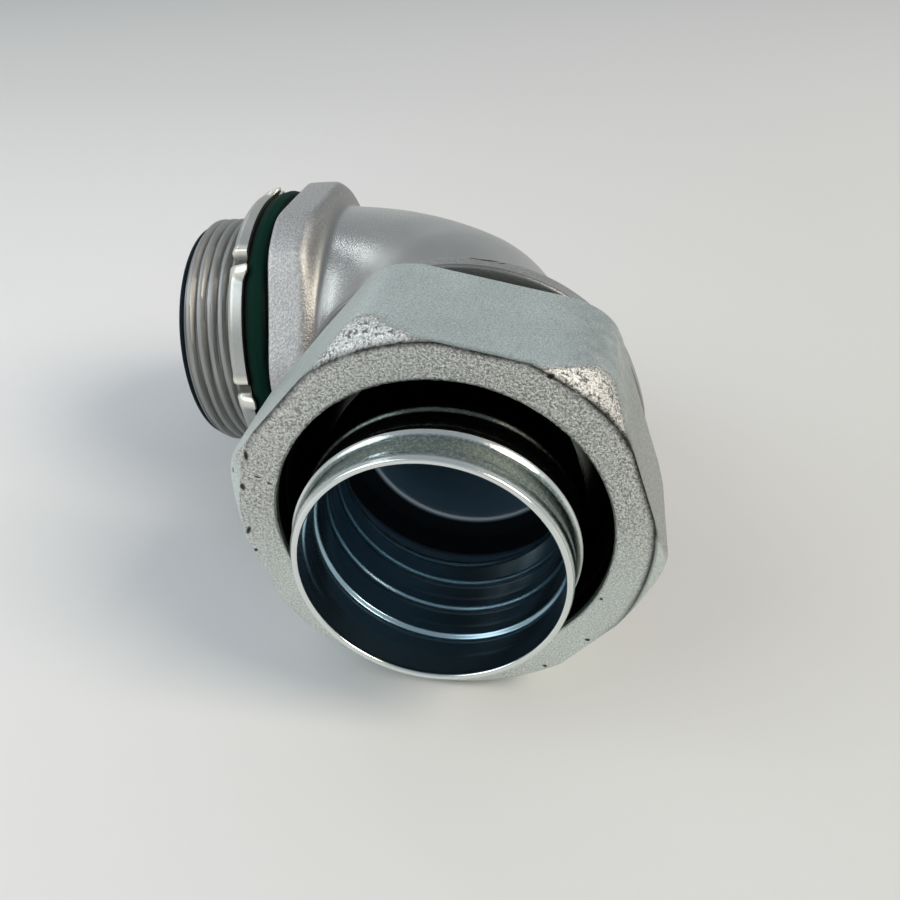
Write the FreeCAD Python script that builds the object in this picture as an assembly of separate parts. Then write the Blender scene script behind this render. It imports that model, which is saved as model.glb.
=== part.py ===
"""Right-angle liquidtight conduit connector, 1-1/2 inch trade size, lying on its side.

Millimetres. The origin is where the hub axis crosses the flange's sealing face. The hub points along -X,
the conduit comes in along -Y and +Z is up. Stations on either axis are counted outwards: from the
sealing face along the hub, and from the hub axis along the conduit.
"""
import FreeCAD
import Part
import math
import os

from FreeCAD import Placement, Rotation, Vector

# Hub: the threaded nose that goes through the knockout of a box
hub_thread_diameter = 48.2
hub_length = 19.8
hub_chamfer = 0.9
hub_wall = 3.6
hub_runout_depth = 0.35

# Wrench flange behind the hub
flange_sides = 6
flange_across_flats = 58.4
flange_corner_diameter = 62.4
flange_thickness = 7.6
flange_front_bevel = 1.0
flange_back_run = 2.8

# Elbow: a cored bend whose wall thins towards the gland
face_to_conduit_axis = 39.5
bend_start = 1.5
neck_diameter = 52.0
neck_wall = 4.4
bend_end_bore_diameter = 36.4
bend_end_wall = 3.3
bend_section_count = 7
core_section_count = 13

# Collar and male gland thread at the conduit end of the body
collar_diameter = 61.7
collar_rise = 4.6
collar_width = 4.6
collar_edge = 1.5
collar_hollow_back_share = 0.22
collar_hollow_rise_share = 0.36
relief_length = 2.0
relief_depth = 0.9
gland_thread_diameter = 54.0
gland_barrel_length = 11.4
gland_chamfer = 0.8
gland_bore_diameter = 43.0
gland_bore_depth = 11.0
gland_bore_run = 1.6

# Gland nut: a cast hexagon with the conduit opening in its face
nut_across_flats = 60.6
nut_length = 24.1
nut_corner_round = 6.0
nut_turn = 15.0
nut_face_diameter = 61.8
nut_front_bevel_slope = 0.85
nut_back_diameter = 65.2
nut_back_bevel_slope = 1.0
nut_wall = 4.6
nut_mouth_round = 0.6
nut_gap_to_collar = 3.0
conduit_diameter = 48.3
conduit_clearance = 1.05

# Grounding ferrule: a steel sleeve with a rolled thread that screws into the conduit's core
ferrule_reach = 26.1
ferrule_bore_diameter = 37.6
ferrule_wall = 1.15
ferrule_lip_thickness = 1.4
ferrule_lip_length = 1.6
ferrule_flange_thickness = 1.2
roll_pitch = 6.35
roll_height = 0.95
roll_ramp = 2.9
roll_back = 1.9
roll_crest_width = 0.5
roll_turns = 3
roll_end_angle = 210.0
roll_to_lip = 2.95

# Sealing ring that the nut wedges onto the conduit's jacket
ring_wall = 2.0
ring_nose = 1.6

# Sealing gasket against the box wall
gasket_thickness = 4.9
gasket_ring_width = 5.0

# Stamped locknut with bent lugs
locknut_thickness = 3.1
locknut_ring_width = 4.7
locknut_bevel = 0.8
lug_count = 7
lug_first_angle = 14.0
notch_angle = 5.0
notch_depth = 0.9
tab_angle = 7.0
tab_thickness = 0.8
tab_overhang = 1.1
tab_setback = 0.9

# Insulating throat in the hub's mouth
throat_wall = 1.15
throat_depth = 11.0
throat_lip_inset = 1.2
throat_lip_thickness = 1.3

# Clearances between pieces
thread_clearance = 0.3
face_clearance = 0.2
ring_clearance = 0.3
throat_clearance = 0.05

# Radii and stations that follow from the sizes above
hub_radius = hub_thread_diameter / 2
hub_bore_radius = hub_radius - hub_wall
bend_radius = face_to_conduit_axis - bend_start
neck_radius = neck_diameter / 2
bend_end_bore_radius = bend_end_bore_diameter / 2
bend_end_radius = bend_end_bore_radius + bend_end_wall
collar_radius = collar_diameter / 2
collar_back = bend_radius + collar_edge
collar_front = collar_back + collar_width
gland_radius = gland_thread_diameter / 2
gland_end = collar_front + gland_barrel_length
gland_bore_radius = gland_bore_diameter / 2
nut_back = collar_front + nut_gap_to_collar
nut_front = nut_back + nut_length
nut_bore_radius = gland_radius + thread_clearance
nut_opening_radius = conduit_diameter / 2 + conduit_clearance
nut_shoulder = nut_front - nut_wall
nut_seat_run = nut_bore_radius - nut_opening_radius
nut_seat_start = nut_shoulder - nut_seat_run
ferrule_back = gland_end + face_clearance
ferrule_front = ferrule_back + ferrule_reach
ferrule_bore_radius = ferrule_bore_diameter / 2
ferrule_radius = ferrule_bore_radius + ferrule_wall
ferrule_flange_front = ferrule_back + ferrule_flange_thickness
ring_radius = nut_bore_radius - ring_clearance
ring_back = ferrule_flange_front + face_clearance
ring_nose_start = nut_seat_start + ring_clearance - face_clearance
gasket_bore_radius = hub_radius + thread_clearance
gasket_radius = gasket_bore_radius + gasket_ring_width
locknut_bore_radius = hub_radius + thread_clearance
locknut_radius = locknut_bore_radius + locknut_ring_width
locknut_back = face_clearance + gasket_thickness + face_clearance
locknut_front = locknut_back + locknut_thickness
free_thread_start = locknut_front + face_clearance

# The two axes: local +Z runs outwards along the hub or along the conduit
HUB = Placement(Vector(0, 0, 0), Rotation(Vector(0, 1, 0), -90))
CONDUIT = Placement(Vector(face_to_conduit_axis, 0, 0), Rotation(Vector(1, 0, 0), 90))


def turned_blank(outline, sweep=360.0):
    """Revolve a closed outline of (station, radius) points; a nested pair is an arc's middle and end."""
    def vector(point):
        return Vector(point[1], 0, point[0])

    edges = []
    here = outline[0]
    for step in outline[1:] + [outline[0]]:
        if isinstance(step[0], tuple):
            middle, end = step
            edges.append(Part.Arc(vector(here), vector(middle), vector(end)).toShape())
            here = end
        else:
            edges.append(Part.makeLine(vector(here), vector(step)))
            here = step
    face = Part.Face(Part.Wire(edges))
    return face.revolve(Vector(0, 0, 0), Vector(0, 0, 1), sweep)


def turned_segment(outline, sweep, turn):
    """Part of a turned blank, from the angle turn on."""
    segment = turned_blank(outline, sweep)
    segment.rotate(Vector(0, 0, 0), Vector(0, 0, 1), turn)
    return segment


def placed(shape, place):
    """The shape moved from its local axis to its place in the part."""
    moved = shape.copy()
    moved.Placement = place.multiply(moved.Placement)
    return moved


def rod(radius, start, end):
    """Plain cylinder about the local axis."""
    return Part.makeCylinder(radius, end - start, Vector(0, 0, start))


def prism(sides, across_flats, start, end, turn):
    """Regular prism about the local axis, with the middle of one flat at the angle turn."""
    corner_radius = across_flats / 2 / math.cos(math.pi / sides)
    corners = []
    for index in range(sides + 1):
        angle = math.radians(turn + 360.0 / sides * (index + 0.5))
        corners.append(Vector(corner_radius * math.cos(angle), corner_radius * math.sin(angle), start))
    face = Part.Face(Part.makePolygon(corners))
    return face.extrude(Vector(0, 0, end - start))


def bend(radius_at, section_count, faceted):
    """Solid bend from the hub axis to the conduit axis; radius_at gives its radius for 0 to 1 of the turn."""
    centre = Vector(bend_start, -bend_radius, 0)
    wires = []
    for index in range(section_count):
        share = index / (section_count - 1)
        turn = -90.0 * share
        spot = centre + Rotation(Vector(0, 0, 1), turn).multVec(Vector(0, bend_radius, 0))
        heading = Rotation(Vector(0, 0, 1), turn).multiply(Rotation(Vector(0, 1, 0), 90))
        circle = Part.Wire(Part.makeCircle(radius_at(share)))
        wires.append(placed(circle, Placement(spot, heading)))
    return Part.makeLoft(wires, True, faceted)


def outer_bend_radius(share):
    """The casting keeps its girth past the flange and then draws in towards the collar."""
    return neck_radius + (bend_end_radius - neck_radius) * share ** 2


def inner_bend_radius(share):
    """The core tapers evenly, so that the wall thins towards the gland."""
    start_radius = neck_radius - neck_wall
    return start_radius + (bend_end_bore_radius - start_radius) * share


def wrench_flange():
    """Hexagon with turned-off corners, a bevelled front edge and a back that slopes to the neck."""
    corner_radius = flange_corner_diameter / 2
    depth = flange_thickness + flange_back_run
    hexagon = prism(flange_sides, flange_across_flats, -depth, 0, 0)
    limits = turned_blank([
        (0, 0),
        (0, corner_radius - flange_front_bevel),
        (-flange_front_bevel, corner_radius),
        (-flange_thickness, corner_radius),
        (-depth, neck_radius),
        (-depth, 0),
    ])
    return hexagon.common(limits)


def collar():
    """Collar that closes the gland end of the elbow: a hollowed rise and a rim with its edge taken off."""
    rise_start = collar_back - collar_rise
    rim_start = collar_radius - collar_edge
    foot = bend_end_radius - bend_end_wall / 2
    hollow_radius = foot + (rim_start - foot) * collar_hollow_rise_share
    return turned_blank([
        (rise_start, 0),
        (rise_start, foot),
        (collar_back - collar_rise * collar_hollow_back_share, hollow_radius),
        (collar_back, rim_start),
        (collar_back + collar_edge, collar_radius),
        (collar_front, collar_radius),
        (collar_front, 0),
    ])


def gland_barrel():
    """Male thread for the nut, drawn at its major diameter, with a relief behind it."""
    relief_radius = gland_radius - relief_depth
    relief_end = collar_front + relief_length
    return turned_blank([
        (collar_front, 0),
        (collar_front, relief_radius),
        (relief_end, relief_radius),
        (relief_end + relief_depth, gland_radius),
        (gland_end - gland_chamfer, gland_radius),
        (gland_end, gland_radius - gland_chamfer),
        (gland_end, 0),
    ])


def elbow_body():
    """One casting: hub, flange, bend, collar and gland barrel around a cored wireway."""
    runout_radius = hub_radius - hub_runout_depth
    hub = turned_blank([
        (0, 0),
        (0, runout_radius),
        (free_thread_start - hub_runout_depth, runout_radius),
        (free_thread_start, hub_radius),
        (hub_length - hub_chamfer, hub_radius),
        (hub_length, hub_radius - hub_chamfer),
        (hub_length, 0),
    ])
    casting = placed(hub.fuse(wrench_flange()), HUB)
    casting = casting.fuse(bend(outer_bend_radius, bend_section_count, False))
    casting = casting.fuse(placed(collar().fuse(gland_barrel()), CONDUIT))
    hub_bore = placed(rod(hub_bore_radius, -bend_start, hub_length), HUB)
    bore_floor = gland_end - gland_bore_depth
    gland_bore = turned_blank([
        (bend_radius, 0),
        (bend_radius, bend_end_bore_radius),
        (bore_floor - gland_bore_run, bend_end_bore_radius),
        (bore_floor, gland_bore_radius),
        (gland_end, gland_bore_radius),
        (gland_end, 0),
    ])
    wireway = bend(inner_bend_radius, core_section_count, True)
    for core in (hub_bore, wireway, placed(gland_bore, CONDUIT)):
        casting = casting.cut(core)
    return casting.removeSplitter()


def gland_nut():
    """Hexagon with rounded edges, cone-turned corners, a conduit opening and a wedge seat for the ring."""
    hexagon = prism(6, nut_across_flats, nut_back, nut_front, nut_turn)
    upright = [edge for edge in hexagon.Edges if abs(edge.tangentAt(edge.FirstParameter).z) > 0.99]
    hexagon = hexagon.makeFillet(nut_corner_round, upright)
    face_radius = nut_face_diameter / 2
    back_radius = nut_back_diameter / 2
    wide_radius = nut_across_flats
    front_run = (wide_radius - face_radius) / nut_front_bevel_slope
    back_run = (wide_radius - back_radius) / nut_back_bevel_slope
    front_limit = turned_blank([
        (nut_front, 0),
        (nut_front, face_radius),
        (nut_front - front_run, wide_radius),
        (nut_back - back_run, wide_radius),
        (nut_back - back_run, 0),
    ])
    back_limit = turned_blank([
        (nut_back, 0),
        (nut_back, back_radius),
        (nut_back + back_run, wide_radius),
        (nut_front + front_run, wide_radius),
        (nut_front + front_run, 0),
    ])
    blank = hexagon.common(front_limit).common(back_limit)
    round_middle = (
        nut_front - nut_mouth_round * (1 - math.sqrt(0.5)),
        nut_opening_radius + nut_mouth_round * (1 - math.sqrt(0.5)),
    )
    hollow = turned_blank([
        (nut_back, 0),
        (nut_back, nut_bore_radius + gland_chamfer),
        (nut_back + gland_chamfer, nut_bore_radius),
        (nut_seat_start, nut_bore_radius),
        (nut_shoulder, nut_opening_radius),
        (nut_front - nut_mouth_round, nut_opening_radius),
        (round_middle, (nut_front, nut_opening_radius + nut_mouth_round)),
        (nut_front, 0),
    ])
    return placed(blank.cut(hollow), CONDUIT)


def rolled_band(surface_radius):
    """Helical ridge bulging out of a cylinder: a long ramp on the lip's side and a short back."""
    length = roll_turns * roll_pitch
    start = ferrule_front - roll_to_lip - length
    root = surface_radius - ferrule_wall / 2
    helix = Part.makeHelix(roll_pitch, length, surface_radius)
    crest = surface_radius + roll_height
    corners = [
        Vector(root, 0, -roll_back),
        Vector(crest, 0, -roll_crest_width / 2),
        Vector(crest, 0, roll_crest_width / 2),
        Vector(root, 0, roll_ramp),
    ]
    section = Part.makePolygon(corners + corners[:1])
    band = Part.Wire(helix).makePipeShell([section], True, True)
    band.rotate(Vector(0, 0, 0), Vector(0, 0, 1), roll_end_angle)
    band.translate(Vector(0, 0, start))
    return band


def grounding_ferrule():
    """Rolled steel sleeve: a seat flange, a coarse thread pressed out of its wall and a rolled lip."""
    lip_radius = ferrule_bore_radius + ferrule_lip_thickness
    lip_start = ferrule_front - ferrule_lip_length
    lip_edge = ferrule_lip_thickness / 3
    sleeve = turned_blank([
        (ferrule_back, 0),
        (ferrule_back, ring_radius),
        (ferrule_flange_front, ring_radius),
        (ferrule_flange_front, ferrule_radius),
        (lip_start, ferrule_radius),
        (lip_start + ferrule_lip_thickness - ferrule_wall, lip_radius),
        (ferrule_front - lip_edge, lip_radius),
        (ferrule_front, lip_radius - lip_edge),
        (ferrule_front, ferrule_bore_radius + lip_edge),
        (ferrule_front - lip_edge, ferrule_bore_radius),
        (ferrule_front - lip_edge, 0),
    ])
    wireway = rod(ferrule_bore_radius, ferrule_back, ferrule_front)
    shell = sleeve.fuse(rolled_band(ferrule_radius))
    shell = shell.cut(wireway).cut(rolled_band(ferrule_bore_radius))
    return placed(shell, CONDUIT)


def sealing_ring():
    """Ring with a tapered nose that the nut's seat presses inwards."""
    inner_radius = ring_radius - ring_wall
    return placed(turned_blank([
        (ring_back, inner_radius),
        (ring_back, ring_radius),
        (ring_nose_start, ring_radius),
        (ring_nose_start + ring_nose, ring_radius - ring_nose),
        (ring_nose_start + ring_nose, inner_radius),
    ]), CONDUIT)


def gasket():
    """Round-edged rubber gasket on the hub, against the sealing face."""
    start = face_clearance
    end = start + gasket_thickness
    edge = gasket_thickness / 2
    return placed(turned_blank([
        (start, gasket_bore_radius),
        (start, gasket_radius - edge),
        ((start + edge, gasket_radius), (end, gasket_radius - edge)),
        (end, gasket_bore_radius),
    ]), HUB)


def locknut():
    """Stamped ring with a bevelled rim, notched into lugs that each have a corner bent over the gasket."""
    blank = turned_blank([
        (locknut_back, locknut_bore_radius),
        (locknut_back, locknut_radius),
        (locknut_front - locknut_bevel, locknut_radius),
        (locknut_front, locknut_radius - locknut_bevel),
        (locknut_front, locknut_bore_radius),
    ])
    notch_floor = locknut_radius - notch_depth
    tab_foot = locknut_radius - locknut_bevel
    tab_inside = max(gasket_radius, locknut_radius) + thread_clearance
    tab_top = tab_inside + tab_thickness
    notch_outline = [
        (locknut_back, notch_floor),
        (locknut_back, tab_top),
        (locknut_front, tab_top),
        (locknut_front, notch_floor),
    ]
    tab_outline = [
        (locknut_front - tab_setback, tab_foot),
        (locknut_back, tab_foot),
        (locknut_back, tab_inside),
        (locknut_back - tab_overhang, tab_inside),
        (locknut_back - tab_overhang, tab_top),
        (locknut_back, tab_top),
    ]
    for index in range(lug_count):
        notch_start = lug_first_angle - notch_angle / 2 + 360.0 / lug_count * index
        blank = blank.cut(turned_segment(notch_outline, notch_angle, notch_start))
        blank = blank.fuse(turned_segment(tab_outline, tab_angle, notch_start - tab_angle))
    return placed(blank, HUB)


def throat_insulator():
    """Moulded sleeve pressed into the hub, with a rounded lip over the hub's end."""
    outer_radius = hub_bore_radius - throat_clearance
    inner_radius = outer_radius - throat_wall
    lip_radius = hub_radius - throat_lip_inset
    lip_back = hub_length + throat_clearance
    lip_front = lip_back + throat_lip_thickness
    lip_round = throat_lip_thickness / 2
    return placed(turned_blank([
        (lip_back - throat_depth, inner_radius),
        (lip_back - throat_depth, outer_radius),
        (lip_back, outer_radius),
        (lip_back, lip_radius - lip_round),
        ((lip_back + lip_round, lip_radius), (lip_front, lip_radius - lip_round)),
        (lip_front, inner_radius + lip_round),
        (lip_front - lip_round, inner_radius),
    ]), HUB)


os.makedirs("parts", exist_ok=True)
pieces = {
    "elbow_body": elbow_body(),
    "gland_nut": gland_nut(),
    "grounding_ferrule": grounding_ferrule(),
    "sealing_ring": sealing_ring(),
    "gasket": gasket(),
    "locknut": locknut(),
    "throat_insulator": throat_insulator(),
}
for node, shape in pieces.items():
    shape.exportStep("parts/" + node + ".step")
    print(node, len(shape.Solids), shape.isValid(), round(shape.Volume, 1))
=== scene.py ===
"""Looks for the right-angle liquidtight conduit connector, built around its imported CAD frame.

Lengths of the part are millimetres in the CAD frame: the hub points along -X, the conduit along -Y,
+Z is up. The stage and the heights of bumps are in metres. Angles around either axis start at +Z and
turn towards the outside of the bend. Pairs of numbers handed to smooth() are where a change begins
and ends.
"""

import math

import bpy
import numpy as np
from mathutils import Matrix, Vector, noise


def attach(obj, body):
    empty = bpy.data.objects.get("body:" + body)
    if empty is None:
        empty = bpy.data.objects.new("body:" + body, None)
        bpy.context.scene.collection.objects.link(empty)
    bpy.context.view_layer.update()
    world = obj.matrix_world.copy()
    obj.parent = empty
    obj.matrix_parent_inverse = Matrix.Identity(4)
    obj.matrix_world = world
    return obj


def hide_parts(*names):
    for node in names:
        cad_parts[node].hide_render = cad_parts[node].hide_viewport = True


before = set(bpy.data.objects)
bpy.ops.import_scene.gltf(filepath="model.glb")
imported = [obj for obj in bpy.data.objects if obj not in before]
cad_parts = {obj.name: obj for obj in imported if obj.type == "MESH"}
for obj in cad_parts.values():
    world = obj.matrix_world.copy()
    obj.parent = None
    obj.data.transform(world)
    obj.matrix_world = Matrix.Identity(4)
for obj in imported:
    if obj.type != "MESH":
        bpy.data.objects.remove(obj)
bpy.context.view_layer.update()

MM = 0.001
TINY = 1e-9
TURN = 2 * math.pi
QUARTER = math.pi / 2
FULL_CIRCLE = 360.0
HEX_SIDES = 6
HEX_STEP = FULL_CIRCLE / HEX_SIDES
UP = np.array([0.0, 0.0, 1.0])

CONDUIT_X = 39.5
BEND_START = 1.5
BEND_RADIUS = CONDUIT_X - BEND_START


# Shapes

SHARP_DEGREES = 40
LONGEST_TRIM = 0.45
THREAD_CREST = 0.30
THREAD_ROOT = 0.95


def smooth(value, low, high):
    """0 below low, 1 above high, and an S-curve between them."""
    share = np.clip((value - low) / (high - low), 0, 1)
    return share * share * (3 - 2 * share)


def soft_max(a, b, reach):
    """Larger of two distances, with the edge where they meet rounded over reach."""
    gap = np.maximum(reach - np.abs(a - b), 0) / reach
    return np.maximum(a, b) + gap * gap * reach / 4


def soft_min(a, b, reach):
    """Smaller of two distances, with the corner where they meet filleted over reach."""
    return -soft_max(-a, -b, reach)


def columns(count):
    """Evenly spaced angles around an axis."""
    return np.arange(count) * TURN / count


def section_rays(heading, angles):
    """Unit directions in one section; heading turns it from the hub's axis to the conduit's."""
    outwards = np.array([math.sin(heading), math.cos(heading), 0.0])
    return np.cos(angles)[:, None] * UP + np.sin(angles)[:, None] * outwards


def section(origin, heading, angles, radii):
    """Points of one ring, at radii around origin."""
    lengths = np.broadcast_to(radii, angles.shape)[:, None]
    return np.asarray(origin, float) + section_rays(heading, angles) * lengths


def hub_ring(station, angles, radii):
    """Ring about the hub axis, station counted outwards from the flange's face."""
    return section((-station, 0, 0), 0.0, angles, radii)


def conduit_ring(station, angles, radii):
    """Ring about the conduit axis, station counted outwards from the hub axis."""
    return section((CONDUIT_X, -station, 0), QUARTER, angles, radii)


def hub_rings(stations, angles, radii):
    """Rings about the hub axis; radii are (rows, columns)."""
    stations = np.broadcast_to(stations, radii.shape)
    return np.stack([-stations, radii * np.sin(angles), radii * np.cos(angles)], axis=-1)


def conduit_rings(stations, angles, radii):
    """Rings about the conduit axis; radii are (rows, columns)."""
    stations = np.broadcast_to(stations, radii.shape)
    return np.stack([CONDUIT_X + radii * np.sin(angles), -stations, radii * np.cos(angles)], axis=-1)


def skin_volume(points, quads):
    """Signed volume that the quads enclose."""
    a, b, c, d = (points[quads[:, k]] for k in range(4))
    first = np.einsum("ij,ij->i", a, np.cross(b, c)).sum()
    second = np.einsum("ij,ij->i", a, np.cross(c, d)).sum()
    return (first + second) / 6


def closed_skin(name, rings, marks=None, sharp=SHARP_DEGREES):
    """Mesh object of a wall whose rings wrap round both ways; marks are named values per point."""
    count, around = rings.shape[:2]
    index = np.arange(count * around).reshape(count, around)
    beside = np.roll(index, -1, axis=1)
    quads = np.stack([index, beside, np.roll(beside, -1, axis=0), np.roll(index, -1, axis=0)], axis=-1)
    points = rings.reshape(-1, 3) * MM
    quads = quads.reshape(-1, 4)
    if skin_volume(points, quads) < 0:
        quads = quads[:, ::-1]
    mesh = bpy.data.meshes.new(name)
    mesh.from_pydata(points.tolist(), [], quads.tolist())
    for mark, values in (marks or {}).items():
        values = np.broadcast_to(values, (count, around)).astype(np.float32)
        mesh.attributes.new(mark, "FLOAT", "POINT").data.foreach_set("value", values.ravel())
    mesh.shade_smooth()
    mesh.set_sharp_from_angle(angle=math.radians(sharp))
    piece = bpy.data.objects.new(name, mesh)
    bpy.context.scene.collection.objects.link(piece)
    return piece


def profile_corners(pairs, count):
    """Corners (columns, corners, 2) from pairs of station and radius, each one value or one a column."""
    return np.stack([np.stack([np.broadcast_to(v, count) for v in pair], -1) for pair in pairs], axis=1)


def rounded_path(corners, radii, counts, arc=4):
    """Closed profile per column through corners (columns, corners, 2), each rounded by its radius.

    counts gives the steps on the run that follows each corner. Returns (rows, columns, 2).
    """
    total = corners.shape[1]
    rows = []
    for k in range(total):
        following = (k + 1) % total
        here = corners[:, k]
        after = corners[:, following]
        back = corners[:, k - 1] - here
        ahead = after - here
        back_length = np.linalg.norm(back, axis=1, keepdims=True) + TINY
        ahead_length = np.linalg.norm(ahead, axis=1, keepdims=True) + TINY
        start = here + back / back_length * np.minimum(radii[k], LONGEST_TRIM * back_length)
        end = here + ahead / ahead_length * np.minimum(radii[k], LONGEST_TRIM * ahead_length)
        goal = after - ahead / ahead_length * np.minimum(radii[following], LONGEST_TRIM * ahead_length)
        for step in range(arc + 1):
            t = step / arc
            rows.append((1 - t) ** 2 * start + 2 * t * (1 - t) * here + t * t * end)
        for step in range(1, counts[k]):
            rows.append(end + (goal - end) * step / counts[k])
    return np.stack(rows)


def turned_profile(profile, angles):
    """Stations (rows, 1) and radii (rows, columns) of a round piece, from its (station, radius) points."""
    stations, radii = np.array(profile).T
    return stations[:, None], np.repeat(radii[:, None], angles.size, axis=1)


def cast_grain(rings, size, depth, seed):
    """Small uneven shifts of each point, as left by a sand mould, in millimetres."""
    flat = rings.reshape(-1, 3) / size + seed
    values = [noise.noise(Vector(p)) for p in flat]
    return depth * np.array(values).reshape(rings.shape[:2])


def ring_noise(angles, size, seed):
    """Uneven values around a ring; a larger size changes faster."""
    return np.array([noise.noise(Vector((size * math.cos(a), size * math.sin(a), seed))) for a in angles])


def thread_wave(station, pitch, angles, hand):
    """0 at the crests and 1 at the roots of a V thread with flattened crests and roots."""
    phase = (station / pitch - hand * angles / TURN) % 1.0
    wave = np.abs(phase - 0.5) * 2
    return smooth(wave, THREAD_CREST, THREAD_ROOT)


# Elbow casting; its sections are square to the hub up to FAN_START, then fan out round the bend

ELBOW_COLUMNS = 216
FAN_START = 11.0
HUB_LENGTH = 19.8
HUB_RADIUS = 24.1
HUB_CHAMFER = 0.9
HUB_BORE = 20.5
HUB_PITCH = 2.209
HUB_DEPTH = 0.85
HUB_FOOT = 0.02
FLANGE_FLAT = 29.2
FLANGE_CORNER = 31.2
FLANGE_THICKNESS = 7.2
FLANGE_SLOPE = 2.0
NECK_RADIUS = 26.0
NECK_WALL = 4.4
NECK_TAPER = 0.4
NECK_TAPER_START = 0.2
WAIST_START = 0.56
WAIST_END = 0.92
BEND_END_RADIUS = 20.4
BEND_START_BORE = NECK_RADIUS - NECK_WALL
BEND_END_BORE = 18.2
COLLAR_RADIUS = 30.85
COLLAR_DRAWN_IN = 0.7
COLLAR_DRAWN_SIDE = (0.80, 0.98)
COLLAR_BACK = 39.5
COLLAR_FRONT = 44.1
RELIEF_RADIUS = 26.1
RELIEF_END = 46.1
GLAND_RADIUS = 27.0
GLAND_CHAMFER = 0.8
GLAND_PITCH = 1.5875
GLAND_DEPTH = 0.75
GLAND_RUN_IN = 0.9
GLAND_END = 55.5
GLAND_BORE = 21.5
GLAND_FLOOR = 44.5

# Reach of the casting's rounded edges and of its fillets
FLAT_EDGE = 0.5
CORNER_EDGE = 0.9
SLOPE_EDGE = 1.8
FACE_EDGE = 0.8
NECK_FILLET = 2.0
COLLAR_EDGE = 1.8
COLLAR_FILLET = 2.4

# Search for the casting's skin along a ray
FAR_INSIDE = -1e3
RAY_SHORTEST = 17.0
RAY_LONGEST = 34.0
RAY_SAMPLES = 69
RAY_HALVINGS = 18

# Rows of points along the casting
HUB_FACE_RADII = (HUB_BORE, HUB_BORE + 1.2, HUB_RADIUS - HUB_CHAMFER - 0.15)
HUB_THREAD_ROWS = np.arange(HUB_LENGTH - 0.1, 0.4, -0.26)
FLANGE_FACE_ROWS = (0.02, 0.1, 0.25, 0.45, 0.7, 1.0)
FLANGE_SIDE_ROWS = np.arange(1.5, FLANGE_THICKNESS - 1.2, 0.6)
FLANGE_SLOPE_ROWS = np.arange(FLANGE_THICKNESS - 1.0, FAN_START, 0.18)
BEND_ROWS = 78
COLLAR_ROWS = np.arange(BEND_RADIUS + 0.25, COLLAR_FRONT - 0.55, 0.25)
COLLAR_FACE_ROWS = ((0.5, 0.0), (0.25, 0.07), (0.07, 0.25), (0.0, 0.5), (0.0, 2.4))
RELIEF_ROWS = (COLLAR_FRONT, COLLAR_FRONT + 0.6, RELIEF_END)
GLAND_THREAD_ROWS = np.arange(RELIEF_END + 0.3, GLAND_END - 0.1, 0.21)
GLAND_FACE_RADII = (GLAND_RADIUS - 0.95, GLAND_BORE + 0.6)
WIREWAY_BEND_ROWS = 28
HUB_BORE_ROWS = (-BEND_START, 5.0, 12.0)

# Wireway behind the gland's mouth: station, radius, how much of the painted core shade, how much painted
# shade
WIREWAY_ROWS = (
    (GLAND_END - 0.5, GLAND_BORE, 1.0, 0.2),
    (51.0, GLAND_BORE, 1.0, 0.2),
    (49.6, GLAND_BORE, 1.0, 1.0),
    (GLAND_FLOOR, GLAND_BORE, 1.0, 1.0),
    (GLAND_FLOOR - 1.1, BEND_END_BORE + 1.1, 1.0, 1.0),
    (GLAND_FLOOR - 1.3, BEND_END_BORE + 0.5, 0.5, 0.0),
    (GLAND_FLOOR - 1.5, BEND_END_BORE + 0.18, 0.4, 0.0),
    (GLAND_FLOOR - 1.8, BEND_END_BORE, 0.6, 0.0),
    (GLAND_FLOOR - 2.4, BEND_END_BORE, 1.0, 0.0),
    (40.0, BEND_END_BORE, 1.0, 0.0),
)

# How sandy each part of the casting is
END_SAND = 0.1
FOOT_SAND = 0.2
FLANGE_SAND = 0.24
FLANGE_SAND_END = (FLANGE_THICKNESS + 1.0, FLANGE_THICKNESS + 2.2)
BEND_SAND = 0.08
COLLAR_SAND = 0.22
COLLAR_FACE_SAND = 0.12
BODY_SWELL = {"size": 11.0, "depth": 0.06, "seed": 3.0}
BODY_SWELL_MARKS = (0.02, 0.08)
BODY_GRAIN = {"size": 1.3, "depth": 0.05, "seed": 11.0}
BODY_GRAIN_MARKS = (0.1, 0.4)

# How dirty and how dull it is, and where shade is painted: in the crease of the bend's inner corner, on
# the flange's back slope, on the collar's face and deep in the wireway; the thread is painted darker in
# its roots
THREAD_DIRT = 0.28
# The thread is painted darker in its roots
ROOT_DARKER = 0.25
ROOT_DARKER_DEPTHS = (0.5, 1.0)
THREAD_DULL = 1.3
# Painted shade on the flange's back slope
SLOPE_SHADE = 0.38
SLOPE_SHADE_START = (6.2, 7.6)
SLOPE_SHADE_END = (9.8, FAN_START)
# Painted shade in the crease of the bend's inner corner
CREASE_SHADE = 0.42
CREASE_LEAN_START = (34, 48)
CREASE_LEAN_END = (120, 140)
CREASE_START = (9.0, FAN_START)
CREASE_END = (0.0, 0.10)
FLANGE_DULL = 1.0
FLANGE_DULL_END = (9.6, FAN_START)
NECK_DULL = 0.1
BEND_DULL_RISE = 0.8
BEND_DULL_SHARES = (0.10, 0.70)
COLLAR_DIRT = 0.24
# Painted shade on the collar's face, in the gap behind the nut
COLLAR_FACE_SHADE = 0.55
COLLAR_DULL = 1.0
# Share of the slate-blue core colour painted in the bore as shade: part in the hub's bore, full beyond the
# bend's middle
HUB_CORED = 0.25
CORED_SHARES = (0.45, 0.75)
# Painted shade in the middle of the wireway's bend
WIREWAY_SHADE = 0.5
WIREWAY_SHADE_SHARES = (0.0, 0.35)
WIREWAY_DULL = 1.2


def bend_share(x, y):
    """How far round the bend a point is, 0 at the hub and 1 at the gland."""
    return np.clip(np.arctan2(x - BEND_START, y + BEND_RADIUS) / QUARTER, 0, 1)


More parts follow.
